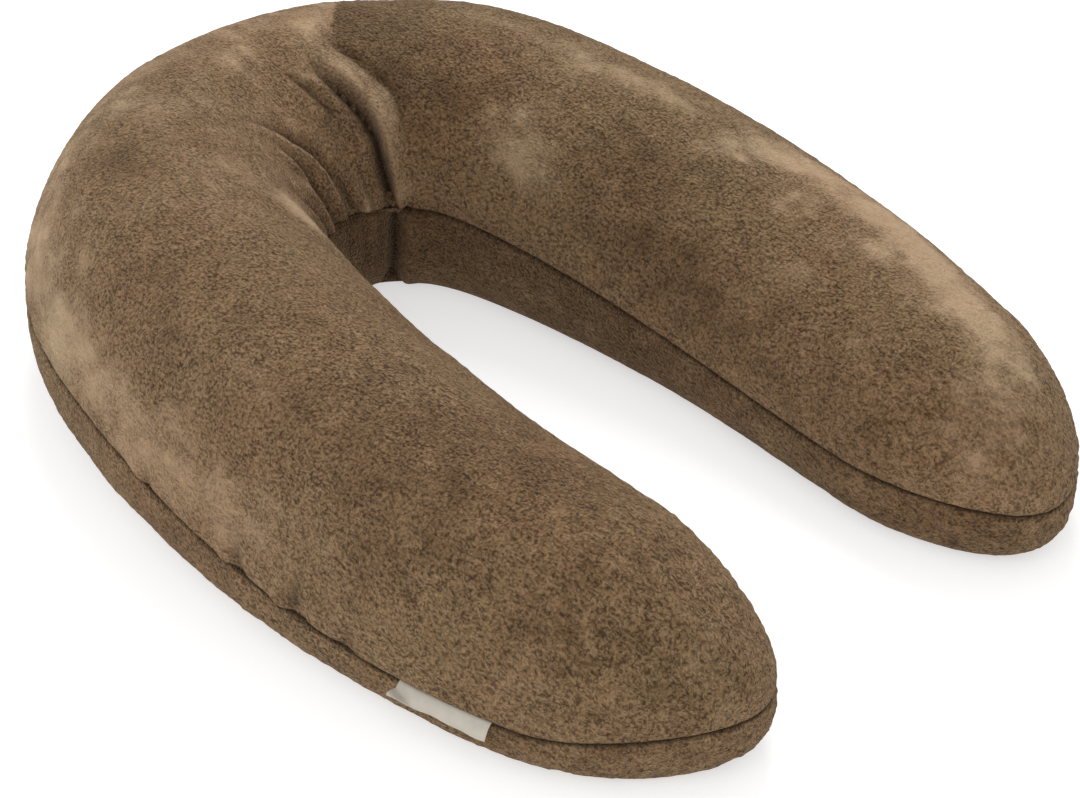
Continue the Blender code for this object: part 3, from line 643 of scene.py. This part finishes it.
def plush_material():
    """Short soft pile in small clumps with painted shade between them, lighter where it lies over or has
    painted sheen and highlights, and painted shade in fold grooves and the seam.
    """
    material, tree, shader = new_material("plush_pile")
    place = object_place(tree)
    shag = add(tree, "ShaderNodeAttribute", attribute_name="shag").outputs["Fac"]
    nap = add(tree, "ShaderNodeAttribute", attribute_name="nap").outputs["Fac"]
    crease = add(tree, "ShaderNodeAttribute", attribute_name="crease").outputs["Fac"]
    warp = add(tree, "ShaderNodeTexNoise", {"Vector": place, "Scale": 70.0, "Detail": 2.0}).outputs["Color"]
    shifted = add(tree, "ShaderNodeVectorMath", {0: warp, 1: (0.0045, 0.0045, 0.0045), 2: place},
                  operation="MULTIPLY_ADD").outputs[0]
    turned = []
    for angle, stretch in ((0.6, (1.0, 0.50, 0.8)), (2.1, (1.0, 0.50, 0.8))):
        turned.append(add(tree, "ShaderNodeMapping", {"Vector": shifted, "Rotation": (0.3, 0.2, angle),
                                                      "Scale": stretch}).outputs[0])
    which = add(tree, "ShaderNodeTexNoise", {"Vector": place, "Scale": 16.0, "Detail": 1.0}).outputs["Fac"]
    which = ranged(tree, which, 0.42, 0.58)
    clumps, cuts = [], []
    for vector in turned:
        soft = add(tree, "ShaderNodeTexNoise", {"Vector": vector, "Scale": 640.0, "Detail": 2.0,
                                                "Roughness": 0.5}).outputs["Fac"]
        clumps.append(ranged(tree, soft, 0.32, 0.68))
        worm = noise_node(tree, vector, 430.0, 1.0)
        off = maths(tree, "ABSOLUTE", maths(tree, "SUBTRACT", worm, 0.47))
        cuts.append(ranged(tree, off, 0.014, 0.068, 1.0, 0.0))
    clump = add(tree, "ShaderNodeMix", {0: which, 2: clumps[0], 3: clumps[1]}, data_type="FLOAT").outputs[0]
    cut = add(tree, "ShaderNodeMix", {0: which, 2: cuts[0], 3: cuts[1]}, data_type="FLOAT").outputs[0]
    broken = noise_node(tree, place, 420.0, 1.0)
    cut = maths(tree, "MULTIPLY", cut, ranged(tree, broken, 0.42, 0.54))
    long_pile = noise_node(tree, turned[0], 330.0, 2.0)
    clump = add(tree, "ShaderNodeMix", {0: maths(tree, "MULTIPLY", shag, 0.50), 2: clump,
                                        3: ranged(tree, long_pile, 0.36, 0.64)}, data_type="FLOAT").outputs[0]
    tuft = add(tree, "ShaderNodeTexVoronoi", {"Vector": shifted, "Scale": 520.0, "Randomness": 1.0},
               feature="F1").outputs["Distance"]
    tuft = ranged(tree, tuft, 0.05, 0.75, 1.0, 0.0)
    fibre = noise_node(tree, shifted, 2100.0, 1.0)
    height = maths(tree, "ADD", maths(tree, "MULTIPLY", clump, 0.50), maths(tree, "MULTIPLY", tuft, 0.35))
    height = maths(tree, "MULTIPLY_ADD", fibre, 0.15, height)
    height = maths(tree, "MULTIPLY_ADD", cut, -0.24, height)
    streak = noise_node(tree, turned[0], 85.0, 3.0)
    nap = maths(tree, "ADD", nap, ranged(tree, streak, 0.25, 0.75, -0.20, 0.20))
    light = ranged(tree, nap, 0.0, 0.85, kind="SMOOTHSTEP")
    # colour: darker down in the gaps between clumps, painted shade, lighter on their tops
    ramp = add(tree, "ShaderNodeValToRGB", {"Fac": ranged(tree, height, 0.12, 0.95)})
    stops = ramp.color_ramp.elements
    stops[0].position, stops[0].color = 0.0, srgb(76, 56, 36)
    stops[1].position, stops[1].color = 1.0, srgb(168, 140, 107)
    middle = stops.new(0.42)
    middle.color = srgb(134, 108, 78)
    # Lighter where the nap is positive: partly the pile lying over, partly painted sheen along an arm's edge
    # and painted highlight on fold ridges.
    smooth_pile_and_sheen = mix(tree, 0.6, ramp.outputs["Color"], srgb(164, 139, 109))
    colour = mix(tree, light, ramp.outputs["Color"], mix(tree, 0.50, smooth_pile_and_sheen, srgb(192, 168, 138)))
    # Darker where the nap is negative: partly the pile's lie, partly painted shade, as over the lower panel.
    dark = ranged(tree, nap, 0.0, -0.5, 0.0, 0.75)
    colour = mix(tree, dark, colour, mix(tree, 1.0, colour, srgb(150, 134, 114), "MULTIPLY"))
    hue = add(tree, "ShaderNodeTexNoise", {"Vector": place, "Scale": 9.0, "Detail": 3.0}).outputs["Fac"]
    colour = mix(tree, ranged(tree, hue, 0.35, 0.68, 0.0, 0.35), colour,
                 mix(tree, 1.0, colour, srgb(255, 232, 222), "MULTIPLY"))
    colour = mix(tree, ranged(tree, hue, 0.50, 0.34, 0.0, 0.30), colour,
                 mix(tree, 1.0, colour, srgb(244, 249, 236), "MULTIPLY"))
    # Painted shade in the fold grooves, the seam's groove and the turned-in edges.
    colour = mix(tree, maths(tree, "MULTIPLY", crease, 0.92, clamp=True), colour, srgb(38, 25, 14))
    height = maths(tree, "MULTIPLY", height, ranged(tree, light, 0.0, 1.0, 1.0, 0.45))
    tree.links.new(colour, shader.inputs["Base Color"])
    bump = add(tree, "ShaderNodeBump", {"Strength": 1.0, "Distance": 0.0034, "Height": height})
    tree.links.new(bump.outputs["Normal"], shader.inputs["Normal"])
    shader.inputs["Roughness"].default_value = 0.92
    shader.inputs["Specular IOR Level"].default_value = 0.12
    shader.inputs["Sheen Weight"].default_value = 0.26
    shader.inputs["Sheen Roughness"].default_value = 0.45
    shader.inputs["Sheen Tint"].default_value = srgb(232, 205, 172)
    return material


def woven_material(name, one, two, warp, weft, bump_depth, roughness=0.85, sheen=0.15):
    """Plain weave from two waves at right angles, with slubs and soft soiling."""
    material, tree, shader = new_material(name)
    place = object_place(tree)
    flow = add(tree, "ShaderNodeAttribute", attribute_name="flow").outputs["Vector"]
    lines = []
    for direction, scale in (("X", warp), ("Y", weft)):
        wave = {"Vector": flow, "Scale": scale, "Distortion": 0.6, "Detail": 1.0}
        lines.append(add(tree, "ShaderNodeTexWave", wave, bands_direction=direction).outputs["Fac"])
    weave = maths(tree, "MAXIMUM", lines[0], lines[1])
    slub = add(tree, "ShaderNodeTexNoise", {"Vector": place, "Scale": 160.0, "Detail": 3.0}).outputs["Fac"]
    height = maths(tree, "MULTIPLY_ADD", slub, 0.5, weave)
    colour = mix(tree, ranged(tree, height, 0.3, 1.3), one, two)
    tree.links.new(colour, shader.inputs["Base Color"])
    bump = add(tree, "ShaderNodeBump", {"Strength": 0.7, "Distance": bump_depth, "Height": height})
    tree.links.new(bump.outputs["Normal"], shader.inputs["Normal"])
    shader.inputs["Roughness"].default_value = roughness
    shader.inputs["Specular IOR Level"].default_value = 0.25
    shader.inputs["Sheen Weight"].default_value = sheen
    return material


def grain_material(name, one, two, scale, depth, roughness, metallic=0.0, specular=0.4, kind="noise"):
    """Fine grain in space: twisted thread, tape, nylon, enamel or foam beads."""
    material, tree, shader = new_material(name)
    place = object_place(tree)
    if kind == "beads":
        cells = add(tree, "ShaderNodeTexVoronoi", {"Vector": place, "Scale": scale}, feature="F1")
        raw = cells.outputs["Distance"]
        height = ranged(tree, raw, 0.0, 0.7, 1.0, 0.0)
    elif kind == "twill":
        wave = {"Vector": place, "Scale": scale, "Distortion": 1.5, "Detail": 1.5}
        raw = add(tree, "ShaderNodeTexWave", wave,
                  bands_direction="DIAGONAL").outputs["Fac"]
        fine = noise_node(tree, place, 2.0 * scale, 2.0)
        height = maths(tree, "MULTIPLY_ADD", fine, 0.6, raw)
    else:
        height = add(tree, "ShaderNodeTexNoise", {"Vector": place, "Scale": scale, "Detail": 4.0,
                                                  "Roughness": 0.6}).outputs["Fac"]
    colour = mix(tree, ranged(tree, height, 0.25, 0.9), one, two)
    tree.links.new(colour, shader.inputs["Base Color"])
    wear = add(tree, "ShaderNodeTexNoise", {"Vector": place, "Scale": 300.0, "Detail": 3.0}).outputs["Fac"]
    tree.links.new(ranged(tree, wear, 0.3, 0.7, max(roughness - 0.10, 0.05), min(roughness + 0.10, 1.0)),
                   shader.inputs["Roughness"])
    bump = add(tree, "ShaderNodeBump", {"Strength": 0.6, "Distance": depth, "Height": height})
    tree.links.new(bump.outputs["Normal"], shader.inputs["Normal"])
    shader.inputs["Metallic"].default_value = metallic
    shader.inputs["Specular IOR Level"].default_value = specular
    return material


PLUSH = plush_material()
THREAD_BROWN = grain_material("brown_twist", srgb(70, 50, 31), srgb(122, 95, 66), 1800.0, 0.0002, 0.80,
                              kind="twill", specular=0.25)
THREAD_WHITE = grain_material("white_twist", srgb(196, 190, 178), srgb(236, 233, 224), 1800.0, 0.0002, 0.80,
                              kind="twill", specular=0.25)
TAPE_BROWN = grain_material("brown_tape", srgb(54, 38, 25), srgb(98, 74, 52), 1500.0, 0.0002, 0.85,
                            kind="twill", specular=0.2)
TAPE_WHITE = grain_material("white_tape", srgb(190, 186, 176), srgb(232, 229, 220), 1500.0, 0.0002, 0.85,
                            kind="twill", specular=0.2)
NYLON_BROWN = grain_material("brown_nylon", srgb(58, 40, 26), srgb(92, 68, 46), 900.0, 0.00005, 0.42)
NYLON_WHITE = grain_material("white_nylon", srgb(206, 203, 194), srgb(238, 236, 230), 900.0, 0.00005, 0.42)
ENAMEL = grain_material("brown_enamel", srgb(60, 42, 27), srgb(108, 84, 60), 520.0, 0.00004, 0.34,
                        metallic=0.6, specular=0.5)
LABEL_CLOTH = woven_material("label_weave", srgb(158, 151, 138), srgb(204, 197, 184),
                             700.0, 420.0, 0.00012, 0.72, 0.1)
SATIN = grain_material("care_satin", srgb(212, 211, 206), srgb(240, 239, 235), 700.0, 0.00008, 0.5,
                       kind="twill")
COTTON = woven_material("liner_weave", srgb(196, 192, 182), srgb(236, 233, 225), 330.0, 330.0, 0.0003)
BEADS = grain_material("foam_beads", srgb(214, 214, 211), srgb(246, 246, 244), 300.0, 0.0016, 0.6,
                       kind="beads")

# ---------------------------------------------------------------- cover, liner and filling
for key, panel_name, is_upper in (("top", "cover_top_plush", True), ("bottom", "cover_bottom_plush", False)):
    panel = cover_panel(panel_name, is_upper, PLUSH)
    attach(panel, "pillow")
    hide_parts(f"cover_{key}_panel")
    inner = liner_panel(f"liner_{key}_cloth", is_upper, COTTON)
    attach(inner, "pillow")
    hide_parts(f"liner_{key}_panel")

beads = filling("bead_fill", BEADS)
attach(beads, "pillow")
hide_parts("bead_filling")


# ---------------------------------------------------------------- label in the outer seam
def brand_label():
    """Blank ribbon sewn in along its upper edge; its free edge waves and one corner turns out."""
    long, high = 72, 18
    steps = np.linspace(0, 1, long + 1), np.linspace(0, 1, high + 1)
    u, v = (m.ravel() for m in np.meshgrid(*steps, indexing="ij"))
    s = BRAND_LABEL_PLACE + 0.9 * BRAND_LABEL_LENGTH * (u - 0.5)
    tuck = 0.22
    hang = np.clip((v - tuck) / (1.0 - tuck), 0.0, 1.0)
    held = np.clip(1.0 - hang * BRAND_LABEL_DROP / 0.0075, 0.0, 1.0)
    out = 0.0016 - 0.0030 * held ** 2 + 0.0026 * hang ** 1.6
    out -= 0.0040 * np.clip(1.0 - v / tuck, 0.0, 1.0)
    out += 0.0007 * np.sin(7.0 * u + 1.0) * hang + 0.0003 * np.sin(19.0 * u) * hang
    down = 0.68 * BRAND_LABEL_DROP * hang
    curl = smooth((hang - 0.25 - 3.2 * (1.0 - u)) / 0.6)
    out += 0.0050 * curl
    down -= 0.0060 * curl
    side_in = form_point(s, 0 * s, np.ones_like(s), True, 0.0)
    x, y = plan_point(s, along_arm(s, HALF_WIDTHS) + out)
    co = np.stack((x, y, side_in["seam"] - down), -1)
    faces = quads_of(long + 1, high + 1, False)
    flow = np.stack((u * BRAND_LABEL_LENGTH, v * 0.017, 0 * u), -1)
    label = new_piece("woven_tag", co, faces, {"flow": flow}, LABEL_CLOTH)
    skin = label.modifiers.new("ribbon", "SOLIDIFY")
    skin.thickness, skin.offset = 0.0003, 0.0
    return label


tag = brand_label()
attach(tag, "pillow")
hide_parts("brand_label")


# ---------------------------------------------------------------- zips
def bend_point(angle, radius, z):
    return radius * np.sin(angle), BEND_CENTRE_Y + radius * np.cos(angle), z


def tooth_row(name, upper, low_angle, high_angle, radius, pitch, material):
    """Moulded teeth along one half of a zip; every tooth is a rounded block with a nose."""
    count = int(math.radians(high_angle - low_angle) * radius / pitch)
    profile = ((-0.30, 0.00052), (-0.42, 0.00075), (-0.42, 0.0023), (-0.30, 0.0024),
               (0.30, 0.0024), (0.42, 0.0023), (0.42, 0.00075), (0.30, 0.00052))
    side = 1.0 if upper else -1.0
    shift = 0.0 if upper else -0.25         # the lower row sits a quarter of a pitch back
    cos, faces = [], []
    thick, heart = 0.00085, 0.0015
    for k in range(count):
        middle = math.radians(low_angle) + (k + 0.5 + shift) * pitch / radius
        start = len(cos)
        for layer, grow in ((-thick, 0.80), (-0.5 * thick, 1.0), (0.5 * thick, 1.0), (thick, 0.80)):
            for along, high in profile:
                height = heart + (high - heart) * grow
                angle = middle + along * grow * pitch / radius
                cos.append(bend_point(angle, radius + layer, SEAM_OUTER[0] + side * height))
        n = len(profile)
        for ring in range(3):
            for j in range(n):
                faces.append((start + ring * n + j, start + ring * n + (j + 1) % n,
                              start + (ring + 1) * n + (j + 1) % n, start + (ring + 1) * n + j))
        for cap in (0, 3 * n):
            c = [start + cap + j for j in range(n)]
            quads = [(c[0], c[1], c[6], c[7]), (c[1], c[2], c[5], c[6]), (c[2], c[3], c[4], c[5])]
            faces.extend(quads if cap else [q[::-1] for q in quads])
    cos = np.array(cos)
    faces = np.array(faces)
    if upper:
        faces = faces[:, ::-1]
    return new_piece(name, cos, faces, {}, material)


TOOTH_PITCH = 0.0016
for prefix, end, radius, plastic, slot_name in (("cover", 41.0, 0.2484, NYLON_BROWN, "zip_coil"),
                                                ("liner", 17.0, 0.2361, NYLON_WHITE, "liner_zip_coil")):
    for half in ("upper", "lower"):
        node_low, node_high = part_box(f"{prefix}_zip_coil_{half}")
        teeth = tooth_row(f"{prefix}_zip_teeth_{half}", half == "upper",
                          -end, end, radius, TOOTH_PITCH, plastic)
        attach(teeth, "pillow")
        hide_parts(f"{prefix}_zip_coil_{half}")


def softened(node, name, body, material, width):
    """A copy of a hard CAD piece with its edges rounded."""
    source = NODES[node]
    mesh = bpy.data.meshes.new(name)
    form = bmesh.new()
    form.from_mesh(source.data)
    bmesh.ops.remove_doubles(form, verts=form.verts, dist=0.00001)
    bmesh.ops.dissolve_limit(form, angle_limit=math.radians(1.0), verts=form.verts, edges=form.edges)
    form.to_mesh(mesh)
    form.free()
    mesh.materials.clear()
    mesh.materials.append(material)
    item = bpy.data.objects.new(name, mesh)
    bpy.context.scene.collection.objects.link(item)
    bevel = item.modifiers.new("edges", "BEVEL")
    bevel.width, bevel.segments, bevel.limit_method = width, 3, "ANGLE"
    bevel.angle_limit = math.radians(40.0)
    mesh.shade_smooth()
    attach(item, body)
    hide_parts(node)
    return item


softened("cover_zip_slider", "cover_slider_body", "cover_slider", ENAMEL, 0.00022)
softened("cover_zip_pull_tab", "cover_pull_tab", "cover_pull", ENAMEL, 0.00022)
softened("liner_zip_slider", "liner_slider_body", "liner_slider", ENAMEL, 0.00022)

FINISHES = {"cover_seam_thread": THREAD_BROWN, "liner_seam_thread": THREAD_WHITE, "care_label": SATIN,
            "cover_zip_tape_upper": TAPE_BROWN, "cover_zip_tape_lower": TAPE_BROWN,
            "liner_zip_tape_upper": TAPE_WHITE, "liner_zip_tape_lower": TAPE_WHITE}
for zip_name in ("cover_zip", "liner_zip"):
    for stop in ("open_end", "closed_upper", "closed_lower"):
        FINISHES[f"{zip_name}_stop_{stop}"] = ENAMEL
for name, finish in FINISHES.items():
    for material_slot in NODES[name].material_slots:
        material_slot.material = finish


# ---------------------------------------------------------------- floor, light and camera
def white_floor():
    material, _, shader = new_material("studio_white")
    shader.inputs["Base Color"].default_value = (0.62, 0.62, 0.62, 1.0)
    shader.inputs["Emission Color"].default_value = (1.0, 1.0, 1.0, 1.0)
    shader.inputs["Emission Strength"].default_value = 0.54
    shader.inputs["Roughness"].default_value = 0.9
    shader.inputs["Specular IOR Level"].default_value = 0.1
    mesh = bpy.data.meshes.new("studio_floor")
    mesh.from_pydata([(-60, -60, 0), (60, -60, 0), (60, 60, 0), (-60, 60, 0)], [], [(0, 1, 2, 3)])
    mesh.materials.append(material)
    floor = bpy.data.objects.new("studio_floor", mesh)
    bpy.context.scene.collection.objects.link(floor)
    return floor


white_floor()


def soft_light(name, place, aim, size, power):
    data = bpy.data.lights.new(name, "AREA")
    data.shape, data.size, data.energy = "DISK", size, power
    lamp = bpy.data.objects.new(name, data)
    bpy.context.scene.collection.objects.link(lamp)
    lamp.location = place
    lamp.rotation_euler = (Vector(aim) - Vector(place)).to_track_quat("-Z", "Y").to_euler()


soft_light("key", (1.6, 1.7, 2.6), (0, 0, 0.05), 1.6, 62.0)
soft_light("fill", (-2.2, -0.6, 1.8), (0, 0, 0.05), 2.2, 16.0)

world = bpy.data.worlds.new("studio")
bpy.context.scene.world = world
world.use_nodes = True
world.node_tree.nodes["Background"].inputs["Color"].default_value = (1.0, 1.0, 1.0, 1.0)
world.node_tree.nodes["Background"].inputs["Strength"].default_value = 0.80


CAMERA_ANGLES = (-44.820, 35.461, 2.0115)      # azimuth, elevation and roll in degrees
CAMERA_AIM, CAMERA_DISTANCE = (-0.05267, -0.09110, 0.07423), 1.40726
FOCAL_PIXELS, IMAGE_WIDTH, SENSOR_WIDTH = 2280.78, 1080.0, 36.0


def camera():
    turn, lift, roll = (math.radians(angle) for angle in CAMERA_ANGLES)
    back = Vector((math.sin(turn) * math.cos(lift), -math.cos(turn) * math.cos(lift), math.sin(lift)))
    right = Vector((math.cos(turn), math.sin(turn), 0.0))
    up = back.cross(right)
    right, up = right * math.cos(roll) + up * math.sin(roll), up * math.cos(roll) - right * math.sin(roll)
    data = bpy.data.cameras.new("camera")
    data.sensor_fit, data.sensor_width = "HORIZONTAL", SENSOR_WIDTH
    data.lens = FOCAL_PIXELS / IMAGE_WIDTH * SENSOR_WIDTH
    item = bpy.data.objects.new("camera", data)
    bpy.context.scene.collection.objects.link(item)
    turned = Matrix((right, up, back)).transposed().to_4x4()
    item.matrix_world = Matrix.Translation(Vector(CAMERA_AIM) + back * CAMERA_DISTANCE) @ turned
    bpy.context.scene.camera = item


camera()
bpy.context.scene.view_settings.view_transform = "Standard"
bpy.context.scene.view_settings.look = "None"
